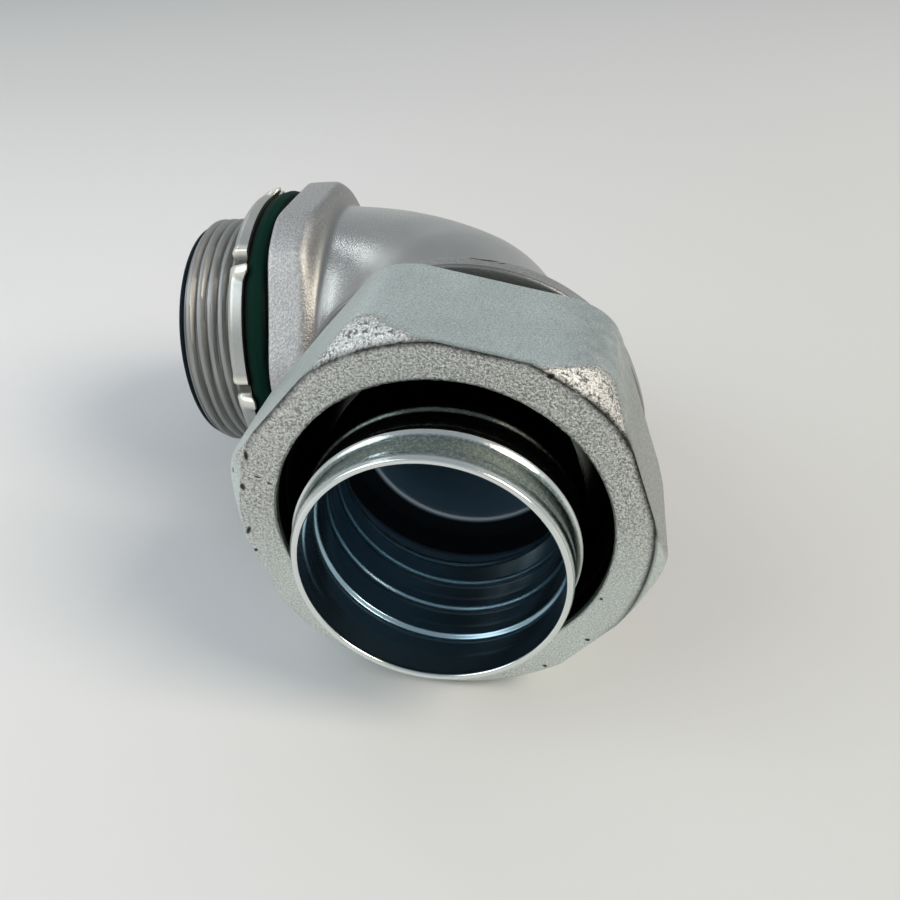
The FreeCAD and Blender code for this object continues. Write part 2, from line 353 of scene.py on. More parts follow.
def bend_path(turn):
    """Point on the bend's centre line after turning by turn."""
    x = BEND_START + BEND_RADIUS * math.sin(turn)
    y = -BEND_RADIUS + BEND_RADIUS * math.cos(turn)
    return np.array([x, y, 0.0])


def collar_radius(side):
    """Collar's radius; side is 1 on the outside of the bend, where the casting is drawn in a little."""
    return COLLAR_RADIUS - COLLAR_DRAWN_IN * smooth(side, *COLLAR_DRAWN_SIDE)


def elbow_distance(points):
    """Signed distance-like field of the flange, bend and collar, with the casting's fillets."""
    x, y, z = points[..., 0], points[..., 1], points[..., 2]
    share = bend_share(x, y)
    girth = NECK_RADIUS - NECK_TAPER * smooth(share, NECK_TAPER_START, WAIST_START)
    girth = girth + (BEND_END_RADIUS - girth) * smooth(share, WAIST_START, WAIST_END)
    round_bend = np.hypot(np.hypot(x - BEND_START, y + BEND_RADIUS) - BEND_RADIUS, z) - girth
    before = np.hypot(y, z) - NECK_RADIUS
    after = np.hypot(x - CONDUIT_X, z) - BEND_END_RADIUS
    tube = np.where(x < BEND_START, before, np.where(y < -BEND_RADIUS, after, round_bend))

    flange = np.full(x.shape, FAR_INSIDE)
    for angle in columns(HEX_SIDES):
        flat = z * math.cos(angle) + y * math.sin(angle) - FLANGE_FLAT
        flange = soft_max(flange, flat, FLAT_EDGE)
    hub_out = np.hypot(y, z)
    flange = soft_max(flange, hub_out - FLANGE_CORNER, CORNER_EDGE)
    fall = FLANGE_CORNER - NECK_RADIUS
    slant = (x - FLANGE_THICKNESS) * fall + (hub_out - FLANGE_CORNER) * FLANGE_SLOPE
    flange = soft_max(flange, slant / math.hypot(fall, FLANGE_SLOPE), SLOPE_EDGE)
    flange = soft_max(flange, -x, FACE_EDGE)
    shape = soft_min(tube, flange, NECK_FILLET)

    conduit_out = np.hypot(x - CONDUIT_X, z) + TINY
    rim = conduit_out - collar_radius((x - CONDUIT_X) / conduit_out)
    collar = soft_max(rim, COLLAR_BACK + y, COLLAR_EDGE)
    return soft_min(shape, collar, COLLAR_FILLET)


def cast_radii(origin, heading, angles):
    """Distance from origin to the casting's skin along each ray of one section."""
    origin = np.asarray(origin)
    rays = section_rays(heading, angles)
    reach = np.linspace(RAY_SHORTEST, RAY_LONGEST, RAY_SAMPLES)
    solid = elbow_distance(origin + rays[:, None] * reach[None, :, None]) < 0
    last = reach.size - 1 - np.argmax(solid[:, ::-1], axis=1)
    low = reach[last]
    high = reach[np.minimum(last + 1, reach.size - 1)]
    for _ in range(RAY_HALVINGS):
        middle = (low + high) / 2
        solid = elbow_distance(origin + rays * middle[:, None]) < 0
        low = np.where(solid, middle, low)
        high = np.where(solid, high, middle)
    return (low + high) / 2


def build_elbow():
    """Hub, flange, bend, collar and gland barrel in one skin, closed through the wireway."""
    angles = columns(ELBOW_COLUMNS)
    rings, rough, inside, line, matte = [], [], [], [], []

    # The darkening argument: soiling on the thread and collar, darker in the thread's roots, and painted
    # shade on the slope, the crease, the collar's face and in the wireway
    def add(ring, sand=0.0, cored=0.0, dirt=0.0, dull=0.0):
        rings.append(ring)
        rough.append(sand)
        inside.append(cored)
        line.append(np.broadcast_to(dirt, angles.shape))
        matte.append(dull)

    def add_cast(origin, heading, **marks):
        add(section(origin, heading, angles, cast_radii(origin, heading, angles)), **marks)

    # Hub: end face, chamfer and thread, from the mouth back to the flange
    for radius in HUB_FACE_RADII:
        add(hub_ring(HUB_LENGTH, angles, radius), END_SAND)
    for station in HUB_THREAD_ROWS:
        crest = np.minimum(HUB_RADIUS, HUB_RADIUS - HUB_CHAMFER + (HUB_LENGTH - station))
        depth = thread_wave(station, HUB_PITCH, angles, 1)
        radii = np.minimum(crest, HUB_RADIUS - HUB_DEPTH * depth)
        # Darker all along the thread, and darker still in its roots
        dirt = THREAD_DIRT + ROOT_DARKER * smooth(depth, *ROOT_DARKER_DEPTHS)
        add(hub_ring(station, angles, radii), dirt=dirt, dull=THREAD_DULL)
    add(hub_ring(HUB_FOOT, angles, HUB_RADIUS - HUB_DEPTH), FOOT_SAND)

    # Flange, bend and collar, cut along rays from the bend's centre line
    lean = np.degrees(-angles % TURN)
    # Painted shade in the crease of the bend's inner corner
    crease = CREASE_SHADE * smooth(lean, *CREASE_LEAN_START) * (1 - smooth(lean, *CREASE_LEAN_END))
    for x in (*FLANGE_FACE_ROWS, *FLANGE_SIDE_ROWS, *FLANGE_SLOPE_ROWS):
        turn = math.asin(max(x - BEND_START, 0) / BEND_RADIUS)
        origin = (x, -BEND_RADIUS + BEND_RADIUS * math.cos(turn), 0.0)
        sand = FLANGE_SAND - (FLANGE_SAND - BEND_SAND) * smooth(x, *FLANGE_SAND_END)
        # Painted shade on the flange's back slope and in the crease
        painted_shade = SLOPE_SHADE * smooth(x, *SLOPE_SHADE_START) * (1 - smooth(x, *SLOPE_SHADE_END))
        painted_shade = painted_shade + crease * smooth(x, *CREASE_START)
        dull = FLANGE_DULL - (FLANGE_DULL - NECK_DULL) * smooth(x, *FLANGE_DULL_END)
        add_cast(origin, 0.0, sand=sand, dirt=painted_shade, dull=dull)
    first = math.asin((FAN_START - BEND_START) / BEND_RADIUS)
    for share in np.linspace(0, 1, BEND_ROWS)[1:]:
        origin = bend_path(first + (QUARTER - first) * share)
        # Painted shade in the crease, fading round the bend
        painted_shade = crease * (1 - smooth(share, *CREASE_END))
        dull = NECK_DULL + BEND_DULL_RISE * smooth(share, *BEND_DULL_SHARES)
        add_cast(origin, QUARTER * share, sand=BEND_SAND, dirt=painted_shade, dull=dull)
    for station in COLLAR_ROWS:
        origin = (CONDUIT_X, -station, 0.0)
        add_cast(origin, QUARTER, sand=COLLAR_SAND, dirt=COLLAR_DIRT, dull=COLLAR_DULL)
    # The collar's face lies in the gap behind the nut and is painted with shade
    for drop, inset in COLLAR_FACE_ROWS:
        ring = conduit_ring(COLLAR_FRONT - drop, angles, collar_radius(np.sin(angles)) - inset)
        add(ring, COLLAR_FACE_SAND, dirt=COLLAR_FACE_SHADE, dull=COLLAR_DULL)

    # Gland barrel: relief, thread and end face
    for station in RELIEF_ROWS:
        add(conduit_ring(station, angles, RELIEF_RADIUS), END_SAND)
    for station in GLAND_THREAD_ROWS:
        crest = np.minimum(GLAND_RADIUS, GLAND_RADIUS - GLAND_CHAMFER + (GLAND_END - station))
        depth = thread_wave(station, GLAND_PITCH, angles, -1)
        height = GLAND_RADIUS - GLAND_DEPTH * depth - RELIEF_RADIUS
        lead = smooth(station, RELIEF_END, RELIEF_END + GLAND_RUN_IN)
        add(conduit_ring(station, angles, np.minimum(crest, RELIEF_RADIUS + height * lead)))
    for radius in GLAND_FACE_RADII:
        add(conduit_ring(GLAND_END, angles, radius), END_SAND)

    # Wireway, from the gland's mouth back to the hub's mouth, with the slate-blue core colour painted in
    # as shade
    for station, radius, cored, dirt in WIREWAY_ROWS:
        add(conduit_ring(station, angles, radius), cored=cored, dirt=dirt)
    for share in np.linspace(1, 0, WIREWAY_BEND_ROWS):
        turn = QUARTER * share
        bore = BEND_START_BORE + (BEND_END_BORE - BEND_START_BORE) * share
        far = smooth(share, *CORED_SHARES)
        dirt = WIREWAY_SHADE * (1 - far) * smooth(share, *WIREWAY_SHADE_SHARES)
        add(section(bend_path(turn), turn, angles, bore), cored=HUB_CORED + (1 - HUB_CORED) * far,
            dirt=dirt, dull=WIREWAY_DULL * (1 - far))
    for station in HUB_BORE_ROWS:
        add(hub_ring(station, angles, HUB_BORE), cored=HUB_CORED, dull=WIREWAY_DULL)

    # Unevenness left by the mould, always inwards
    rings = np.stack(rings)
    rough = np.array(rough)[:, None]
    rays = rings - rings.mean(axis=1, keepdims=True)
    rays /= np.linalg.norm(rays, axis=2, keepdims=True) + TINY
    shift = np.abs(cast_grain(rings, **BODY_SWELL)) * smooth(rough, *BODY_SWELL_MARKS)
    shift += np.abs(cast_grain(rings, **BODY_GRAIN)) * smooth(rough, *BODY_GRAIN_MARKS)
    rings = rings - rays * shift[..., None]
    marks = {
        "rough": rough,
        "inside": np.array(inside)[:, None],
        "line": np.stack(line),
        "matte": np.array(matte)[:, None],
    }
    return closed_skin("elbow_casting", rings, marks)


# Gland nut

NUT_COLUMNS = 480
NUT_FLAT = 30.3
NUT_CORNER_ROUND = 6.0
NUT_TURN = 15.0
NUT_BACK = 47.1
NUT_FRONT = 71.2
NUT_FACE = 30.9
NUT_FACE_SLOPE = 0.85
NUT_REAR = 32.6
NUT_BORE = 27.3
NUT_BORE_CHAMFER = 0.8
NUT_OPENING = 25.2
NUT_SEAT = 66.6
NUT_SLIVER = 0.02
NUT_ROUNDS = (0.6, 0.35, 2.4, 0.9, 0.5, 0.2, 0.2, 0.3, 0.3)
NUT_STEPS = (18, 12, 44, 6, 4, 2, 6, 4, 6)
EDGE_WANDER = 0.18
EDGE_NOISE = {"size": 4, "seed": 0.7}

# Where the nut's face, chamfers and cavity lie
FACE_STATIONS = (NUT_FRONT - 0.16, NUT_FRONT - 0.04)
FACE_SINK_STATIONS = (NUT_FRONT - 0.2, NUT_FRONT)
CHAMFER_STATIONS = (NUT_FRONT - 6.5, NUT_FRONT - 5.5)
CHAMFER_INSETS = (0.10, 0.55)
CAVITY_RADIUS = NUT_BORE + 0.4
CAVITY_FRONT = NUT_FRONT - 0.62

# Parts of the nut's outline, by the sine or cosine of the angle
UPPER_FACE = (-0.45, 0.35)
UPPER_CHAMFER = (0.25, 0.55)
RIGHT_FLAT = (0.75, 0.95)
RIGHT_CHAMFER = (0.54, 0.78)

# How sandy the nut is; the upper chamfers' mark also paints their highlight, and the right flat's also
# paints its shade
NUT_SAND = 0.12
NUT_FACE_SAND = 0.08
UPPER_FACE_SAND = 0.34
UPPER_CHAMFER_SAND_AND_HIGHLIGHT = 0.88
# The right flat's extra sand also paints it darker as shade
RIGHT_FLAT_SAND_AND_SHADE = 0.28
NUT_LUMPS = {"size": 2.0, "depth": 0.10, "seed": 5.0}
NUT_GRAIN = {"size": 0.9, "depth": 0.09, "seed": 17.0}
NUT_SWELL = {"size": 14.0, "depth": 0.12, "seed": 29.0}

# Dark line round the face; its middle is in degrees up from the outside of the bend
LINE_MIDDLE = 60.0
LINE_SPAN = 76.0
LINE_FADE = 32
LINE_WIDTH = 0.60
LINE_DEPTH = 0.16
LINE_NOISE = {"size": 7, "seed": 3.1}
LINE_STRENGTH = 0.975
LINE_UNEVENNESS = 0.675
LINE_WEAKEST = 0.3

# Painted shade on the right flat; scuffs with painted shade around its upper corner, in degrees from +Z;
# painted shade on the right chamfers
RIGHT_FLAT_SHADE = 0.34
# Scuffs with painted shade round the upper right corner
CORNER_SCUFF_AND_SHADE = 0.42
CORNER_SCUFF_LEVEL = 0.75
SCUFF_GRAIN = {"size": 1.7, "depth": 0.5, "seed": 41.0}
SCUFF_MIDDLE = 49.0
SCUFF_SPAN = 13.0
# Painted shade on the right part of the upper chamfers
CHAMFER_SHADE = 0.36


def hexagon_radius(angles, flat, corner_round, turn_degrees):
    """Radius of a hexagon with rounded corners; a flat lies turn_degrees up from the bend's outside."""
    half_step = math.radians(HEX_STEP / 2)
    around = np.degrees(QUARTER - angles)
    off = np.radians((around - turn_degrees + HEX_STEP / 2) % HEX_STEP - HEX_STEP / 2)
    straight = flat / np.cos(off)
    half_flat = (flat - corner_round) * math.tan(half_step)
    centre = (flat - corner_round) / math.cos(half_step)
    aside = half_step - np.abs(off)
    bow = np.sqrt(np.maximum(corner_round ** 2 - (centre * np.sin(aside)) ** 2, 0))
    bow = centre * np.cos(aside) + bow
    return np.where(straight * np.sin(np.abs(off)) <= half_flat, straight, bow)


def build_nut():
    """Hexagon nut with a sandy face, chipped front chamfers with a painted highlight on the upper ones,
    painted shade on its right side and a cavity painted dark as shade.
    """
    angles = columns(NUT_COLUMNS)
    side = hexagon_radius(angles, NUT_FLAT, NUT_CORNER_ROUND, NUT_TURN)
    face = np.minimum(NUT_FACE + EDGE_WANDER * ring_noise(angles, **EDGE_NOISE), side - NUT_SLIVER)
    rear = np.minimum(NUT_REAR, side - NUT_SLIVER)
    corners = profile_corners([
        (NUT_FRONT, NUT_OPENING),
        (NUT_FRONT, face),
        (NUT_FRONT - (side - face) / NUT_FACE_SLOPE, side),
        (NUT_BACK + (side - rear), side),
        (NUT_BACK, rear),
        (NUT_BACK, NUT_BORE + NUT_BORE_CHAMFER),
        (NUT_BACK + NUT_BORE_CHAMFER, NUT_BORE),
        (NUT_SEAT - NUT_BORE + NUT_OPENING, NUT_BORE),
        (NUT_SEAT, NUT_OPENING),
    ], angles.size)
    path = rounded_path(corners, NUT_ROUNDS, NUT_STEPS)
    stations, out = path[..., 0], path[..., 1]
    rings = conduit_rings(stations, angles, out)

    # Sand
    cavity = (out < CAVITY_RADIUS) & (stations < CAVITY_FRONT)
    on_face = smooth(stations, *FACE_STATIONS)
    on_chamfer = smooth(side - out, *CHAMFER_INSETS) * smooth(stations, *CHAMFER_STATIONS) * (1 - on_face)
    on_flat = (1 - on_face) * (1 - on_chamfer)
    upper_face = smooth(np.cos(angles), *UPPER_FACE)
    upper_chamfer = smooth(np.cos(angles), *UPPER_CHAMFER)
    right_flat = smooth(np.sin(angles), *RIGHT_FLAT)
    rough = NUT_SAND + on_face * (NUT_FACE_SAND + UPPER_FACE_SAND * upper_face)
    rough = rough + on_chamfer * UPPER_CHAMFER_SAND_AND_HIGHLIGHT * upper_chamfer
    rough = rough + RIGHT_FLAT_SAND_AND_SHADE * right_flat * on_flat
    rough = np.where(cavity, 0.0, rough)

    # Dark line, painted shade on the right flat and right chamfers, and scuffs with painted shade round
    # the upper right corner
    from_middle = FULL_CIRCLE / 4 - np.degrees(angles) - LINE_MIDDLE
    from_middle = np.abs((from_middle + FULL_CIRCLE / 2) % FULL_CIRCLE - FULL_CIRCLE / 2)
    strength = LINE_STRENGTH + LINE_UNEVENNESS * ring_noise(angles, **LINE_NOISE)
    strength = np.clip(strength, LINE_WEAKEST, 1.0)
    strength = strength * (1 - smooth(from_middle, LINE_SPAN, LINE_SPAN + LINE_FADE))
    line = np.exp(-(np.hypot(stations - NUT_FRONT, out - face) / LINE_WIDTH) ** 2) * strength
    corner = np.exp(-((np.degrees(angles) - SCUFF_MIDDLE) / SCUFF_SPAN) ** 2)
    patchy = np.clip(CORNER_SCUFF_LEVEL + cast_grain(rings, **SCUFF_GRAIN), 0, 1)
    # Painted shade on the right flat; scuffs with painted shade round the upper right corner
    scuff_and_shade = RIGHT_FLAT_SHADE * right_flat + CORNER_SCUFF_AND_SHADE * corner * patchy
    # Painted shade on the right part of the upper chamfers
    worn = CHAMFER_SHADE * smooth(np.sin(angles), *RIGHT_CHAMFER) * upper_chamfer
    shade = np.clip(line + scuff_and_shade * on_flat + worn * on_chamfer, 0, 1)

    # Unevenness left by the mould, always inwards
    lumps = cast_grain(rings, **NUT_LUMPS) + cast_grain(rings, **NUT_GRAIN)
    sink = np.abs(lumps) * rough + np.abs(cast_grain(rings, **NUT_SWELL)) + LINE_DEPTH * line
    sink = np.where(cavity, 0.0, sink)
    face_share = smooth(stations, *FACE_SINK_STATIONS)
    rings = conduit_rings(stations - sink * face_share, angles, out - sink * (1 - face_share))
    return closed_skin("gland_nut_casting", rings, {"rough": rough, "inside": cavity, "line": shade})


# Grounding ferrule

FERRULE_COLUMNS = 200
FERRULE_SHARP_DEGREES = 60
FERRULE_BACK = 55.7
FERRULE_FRONT = 81.8
FERRULE_BORE = 18.8
FERRULE_WALL = 1.15
FERRULE_OUTER = FERRULE_BORE + FERRULE_WALL
SEAT_RADIUS = 27.0
SEAT_THICKNESS = 1.2
SEAT_FRONT = FERRULE_BACK + SEAT_THICKNESS
SEAT_ROUND = 0.2
CURL = 0.4
CURL_LENGTH = 1.2
LIP_RADIUS = 19.75
LIP_LENGTH = 0.9
LIP_START = FERRULE_FRONT - LIP_LENGTH
LIP_ROUND = 0.42
LIP_STEPS = 5
ROLL_PITCH = 6.35
ROLL_HEIGHT = 0.93
ROLL_BACK = 2.1
ROLL_BACK_INSIDE = 0.8
ROLL_SHARE_INSIDE = 0.62
ROLL_SHARE_DEEP = 0.68
ROLL_DEEP_STATIONS = (67.5, 72.0)
ROLL_BEAD = 1.2
ROLL_BEAD_SHARE = 0.55
ROLL_FALL = 0.75
ROLL_RAMP = 3.9
ROLL_FOOT = 0.5
ROLL_LEAD = 170.0
ROLL_FADE_IN = 80
ROLL_FADE_OUT = 55
ROLL_LAG = 0.4
ROLL_TURNS = 3
ROLL_END = FULL_CIRCLE * ROLL_TURNS
ROLL_START = 59.8
ROLL_ANGLE = 210.0

# Rows of points along the ferrule, by station or by station and radius
SEAT_ROWS = (
    (FERRULE_BACK, FERRULE_BORE - CURL),
    (FERRULE_BACK, 22.0),
    (FERRULE_BACK, SEAT_RADIUS - SEAT_ROUND),
    (FERRULE_BACK + SEAT_ROUND, SEAT_RADIUS),
    (SEAT_FRONT - SEAT_ROUND, SEAT_RADIUS),
    (SEAT_FRONT, SEAT_RADIUS - SEAT_ROUND),
    (SEAT_FRONT, 21.0),
    (SEAT_FRONT + 0.25, FERRULE_OUTER),
)
OUTSIDE_ROWS = np.arange(FERRULE_BACK + 1.7, LIP_START, 0.2)
LIP_ROWS = ((LIP_START + 0.15, LIP_RADIUS + 0.02), (LIP_START + 0.35, LIP_RADIUS))
INSIDE_ROWS = np.arange(FERRULE_FRONT - LIP_ROUND - 0.2, FERRULE_BACK + 0.3, -0.12)

# Painted shade and painted highlights on the ferrule: shade on the seat and on the sleeve deep in the nut,
# highlights on the ridge's crest and the lip
SEAT_DARK = 0.97
SEAT_DARK_RADII = (FERRULE_OUTER + 0.2, FERRULE_OUTER + 0.9)
SEAT_DARK_FRONT = SEAT_FRONT + 0.1
SLEEVE_DARK = 0.55
SLEEVE_DARK_END = (71.0, 75.0)
CREST_HEIGHTS = (0.48 * ROLL_HEIGHT, 0.75 * ROLL_HEIGHT)
CREST_STATIONS = (72.0, 74.0)


def roll_height(station, angles, lag, back_length):
    """Height of the rolled helical ridge: a long ramp on the lip's side, a short back, faded ends."""
    first = (np.degrees(QUARTER - angles) - ROLL_ANGLE) % FULL_CIRCLE
    height = np.zeros(angles.shape)
    for turn in range(-1, ROLL_TURNS):
        along = first + FULL_CIRCLE * turn
        fade = smooth(along, -ROLL_LEAD, ROLL_FADE_IN - ROLL_LEAD)
        fade = fade * (1 - smooth(along, ROLL_END - ROLL_FADE_OUT, ROLL_END))
        offset = station - (ROLL_START - lag + ROLL_PITCH * along / FULL_CIRCLE)
        back = 1 - smooth(-offset, 0.0, back_length)
        bead = ROLL_BEAD_SHARE * (1 - smooth(offset, 0.0, ROLL_BEAD))
        band = (1 - ROLL_BEAD_SHARE) * (1 - ROLL_FALL * offset / ROLL_RAMP)
        ramp = (bead + band) * (1 - smooth(offset, ROLL_RAMP - ROLL_FOOT, ROLL_RAMP + ROLL_FOOT))
        height = np.maximum(height, ROLL_HEIGHT * fade * np.where(offset < 0, back, ramp))
    return height


def build_ferrule():
    """Sleeve with a seat flange, a helical ridge pressed through its wall and a rolled lip."""
    angles = columns(FERRULE_COLUMNS)
    rows = list(SEAT_ROWS)
    for station in OUTSIDE_ROWS:
        rows.append((station, FERRULE_OUTER + roll_height(station, angles, ROLL_LAG, ROLL_BACK)))
    lip = len(rows)
    rows += LIP_ROWS
    for edge, heading in ((LIP_RADIUS - LIP_ROUND, 0.0), (FERRULE_BORE + LIP_ROUND, QUARTER)):
        for step in range(LIP_STEPS + 1):
            turn = heading + QUARTER * step / LIP_STEPS
            station = FERRULE_FRONT - LIP_ROUND + LIP_ROUND * math.sin(turn)
            rows.append((station, edge + LIP_ROUND * math.cos(turn)))
    outside = len(rows)
    for station in INSIDE_ROWS:
        share = ROLL_SHARE_DEEP + (1 - ROLL_SHARE_DEEP) * smooth(station, *ROLL_DEEP_STATIONS)
        ridge = ROLL_SHARE_INSIDE * share * roll_height(station, angles, 0.0, ROLL_BACK_INSIDE)
        curl = CURL * (1 - smooth(station, FERRULE_BACK, FERRULE_BACK + CURL_LENGTH))
        rows.append((station, FERRULE_BORE - curl + ridge))
    stations = np.array([row[0] for row in rows])[:, None]
    radii = np.stack([np.broadcast_to(row[1], angles.shape) for row in rows])

    inside = np.zeros(radii.shape)
    inside[outside + 1:] = 1.0
    # Painted shade on the seat and on the sleeve deep in the nut's cavity
    seat_dark = SEAT_DARK * smooth(radii, *SEAT_DARK_RADII)
    sleeve_dark = SLEEVE_DARK * (1 - smooth(stations, *SLEEVE_DARK_END)) * (1 - inside)
    # Painted highlight on the ridge's crest and on the lip
    crest = smooth(radii - FERRULE_OUTER, *CREST_HEIGHTS) * smooth(stations, *CREST_STATIONS)
    bright = crest * (1 - inside)
    bright[lip:outside] = 1.0
    marks = {
        "inside": inside,
        "bright": bright,
        "line": np.where(stations < SEAT_DARK_FRONT, seat_dark, sleeve_dark),
    }
    rings = conduit_rings(stations, angles, radii)
    return closed_skin("ferrule_sleeve", rings, marks, FERRULE_SHARP_DEGREES)


# Sealing ring

RING_COLUMNS = 192
RING_BACK = 57.1
RING_FRONT = 66.2
RING_NOSE = 1.6
RING_RADIUS = 27.0
RING_INNER = 25.0
RING_ROUND = 0.3
RING_NOSE_ROUND = 0.1
RING_MOUTH_ROUND = 0.15


def build_sealing_ring():
    """Ring with a tapered nose."""
    angles = columns(RING_COLUMNS)
    profile = [
        (RING_BACK, RING_INNER + RING_ROUND),
        (RING_BACK, RING_RADIUS - RING_ROUND),
        (RING_BACK + RING_ROUND, RING_RADIUS),
        (RING_FRONT - RING_NOSE, RING_RADIUS),
        (RING_FRONT - RING_NOSE_ROUND, RING_RADIUS - RING_NOSE + RING_NOSE_ROUND),
        (RING_FRONT, RING_RADIUS - RING_NOSE - RING_NOSE_ROUND),
        (RING_FRONT, RING_INNER + RING_MOUTH_ROUND),
        (RING_FRONT - RING_MOUTH_ROUND, RING_INNER),
        (RING_BACK + RING_ROUND, RING_INNER),
    ]
    stations, radii = turned_profile(profile, angles)
    return closed_skin("sealing_ring_moulding", conduit_rings(stations, angles, radii))


# Locknut

LOCKNUT_COLUMNS = 560
LOCKNUT_SHARP_DEGREES = 50
LOCKNUT_BACK = 5.2
LOCKNUT_FRONT = 8.4
LOCKNUT_BORE = 24.4
LOCKNUT_RADIUS = 29.1
LOCKNUT_CHAMFER = 0.85
LOCKNUT_UNDERCUT = 0.6
LOCKNUT_ROUNDS = (0.15, 0.1, 0.1, 0.3, 0.5, 0.5, 0.4, 0.3)
LOCKNUT_STEPS = (4, 2, 2, 2, 3, 2, 5, 3)
LOCKNUT_ARC = 3
LUGS = 7
FIRST_NOTCH = 14.0
NOTCH_HALF = 2.6
NOTCH_DEPTH = 0.95
NOTCH_FALL = 0.35
NOTCH_SPAN = (NOTCH_HALF - 1.2, NOTCH_HALF + 0.6)

# Each notch has a bent tab on one side and a small burr on the other
TAB_START = (NOTCH_HALF - 0.6, NOTCH_HALF + 0.8)
TAB_END = (NOTCH_HALF + 3.0, NOTCH_HALF + 7.0)
TAB_TOP = 30.48
TAB_REACH = 1.1
TAB_EDGE = 0.75
TAB_LEAST = 0.02
TAB_UNDERSIDE = 29.68
TAB_UNDERSIDE_DROP = 0.3
TAB_SLIVER = 0.02
TAB_SHOULDER = 0.9
TAB_SHOULDER_SHIFT = 0.6
TAB_SHOULDER_SHARE = 0.45
BURR_START = (NOTCH_HALF - 0.6, NOTCH_HALF + 0.6)
BURR_END = (NOTCH_HALF + 1.5, NOTCH_HALF + 4.5)
BURR_RISE = 0.35
BURR_REACH = 0.15
BURR_FALL = 0.2
# Painted shade deep in each notch; painted highlight on the notches, tabs and burrs
NOTCH_DARK = 0.85
NOTCH_DARK_SHARES = (0.35, 1.0)
NOTCH_DARK_RADII = (LOCKNUT_RADIUS - 3.0, LOCKNUT_RADIUS - 1.2)
NOTCH_BRIGHT = 0.5


def build_locknut():
    """Stamped ring with notches in its rim and a bent tab and a burr beside each notch."""
    angles = columns(LOCKNUT_COLUMNS)
    span = FULL_CIRCLE / LUGS
    off = (np.degrees(angles) - FIRST_NOTCH + span / 2) % span - span / 2
    notch = 1 - smooth(np.abs(off), *NOTCH_SPAN)
    tab = smooth(-off, *TAB_START) * (1 - smooth(-off, *TAB_END))
    burr = smooth(off, *BURR_START) * (1 - smooth(off, *BURR_END))
    rim = LOCKNUT_RADIUS - NOTCH_DEPTH * notch + BURR_RISE * burr
    edge = rim + (TAB_TOP - LOCKNUT_RADIUS) * tab
    reach = TAB_REACH * tab + BURR_REACH * burr
    underside = np.maximum(TAB_UNDERSIDE, rim - TAB_UNDERSIDE_DROP)
    under = np.minimum(edge - TAB_EDGE * tab, np.where(tab > TAB_LEAST, underside, rim - TAB_SLIVER))
    corners = profile_corners([
        (LOCKNUT_BACK, LOCKNUT_BORE),
        (LOCKNUT_BACK, rim - LOCKNUT_UNDERCUT),
        (LOCKNUT_BACK - reach, under),
        (LOCKNUT_BACK - reach, edge),
        (LOCKNUT_BACK + TAB_SHOULDER + TAB_SHOULDER_SHIFT * tab, rim + TAB_SHOULDER_SHARE * (edge - rim)),
        (LOCKNUT_FRONT - LOCKNUT_CHAMFER - BURR_FALL * burr, rim),
        (LOCKNUT_FRONT - NOTCH_FALL * notch, rim - LOCKNUT_CHAMFER),
        (LOCKNUT_FRONT, LOCKNUT_BORE),
    ], angles.size)
    path = rounded_path(corners, LOCKNUT_ROUNDS, LOCKNUT_STEPS, LOCKNUT_ARC)
    stations, out = path[..., 0], path[..., 1]
    # Painted shade deep in each notch and painted highlight on the tabs, burrs and notches
    dark = NOTCH_DARK * smooth(notch, *NOTCH_DARK_SHARES) * smooth(out, *NOTCH_DARK_RADII)
    marks = {"line": dark, "bright": np.clip(tab + burr + NOTCH_BRIGHT * notch, 0, 1)}
    rings = hub_rings(stations, angles, out)
    return closed_skin("locknut_stamping", rings, marks, LOCKNUT_SHARP_DEGREES)


# Gasket

GASKET_COLUMNS = 192
GASKET_BACK = 0.2
GASKET_FRONT = 5.1
GASKET_BORE = 24.4
GASKET_BORE_EDGE = 25.6
GASKET_RADIUS = 29.4
GASKET_STEPS = 24
GASKET_FULLNESS = 0.6
SEAM_HEIGHT = 0.10
SEAM_WIDTH = 0.05
# Painted sheen round the middle of the rim
GASKET_SHEEN_RADII = (GASKET_RADIUS - 0.55, GASKET_RADIUS - 0.15)


def build_gasket():
    """Round-edged ring with a moulding seam."""
    angles = columns(GASKET_COLUMNS)
    half = (GASKET_FRONT - GASKET_BACK) / 2
    middle = (GASKET_FRONT + GASKET_BACK) / 2
    shoulder = GASKET_RADIUS - half
    profile = [(GASKET_BACK, GASKET_BORE), (GASKET_BACK, GASKET_BORE_EDGE), (GASKET_BACK, shoulder)]
    for step in range(1, GASKET_STEPS):
        turn = math.pi * step / GASKET_STEPS
        bulge = half * math.sin(turn) ** GASKET_FULLNESS
        seam = SEAM_HEIGHT * math.exp(-((turn - QUARTER) / SEAM_WIDTH) ** 2)
        profile.append((middle - half * math.cos(turn), shoulder + bulge - SEAM_HEIGHT + seam))
    profile += [(GASKET_FRONT, shoulder), (GASKET_FRONT, GASKET_BORE_EDGE), (GASKET_FRONT, GASKET_BORE)]
    stations, radii = turned_profile(profile, angles)
    # The band mark paints a sheen round the rim
    marks = {"band": smooth(radii, *GASKET_SHEEN_RADII)}
    return closed_skin("gasket_moulding", hub_rings(stations, angles, radii), marks)


# Materials

SPOT_EDGE = 0.45


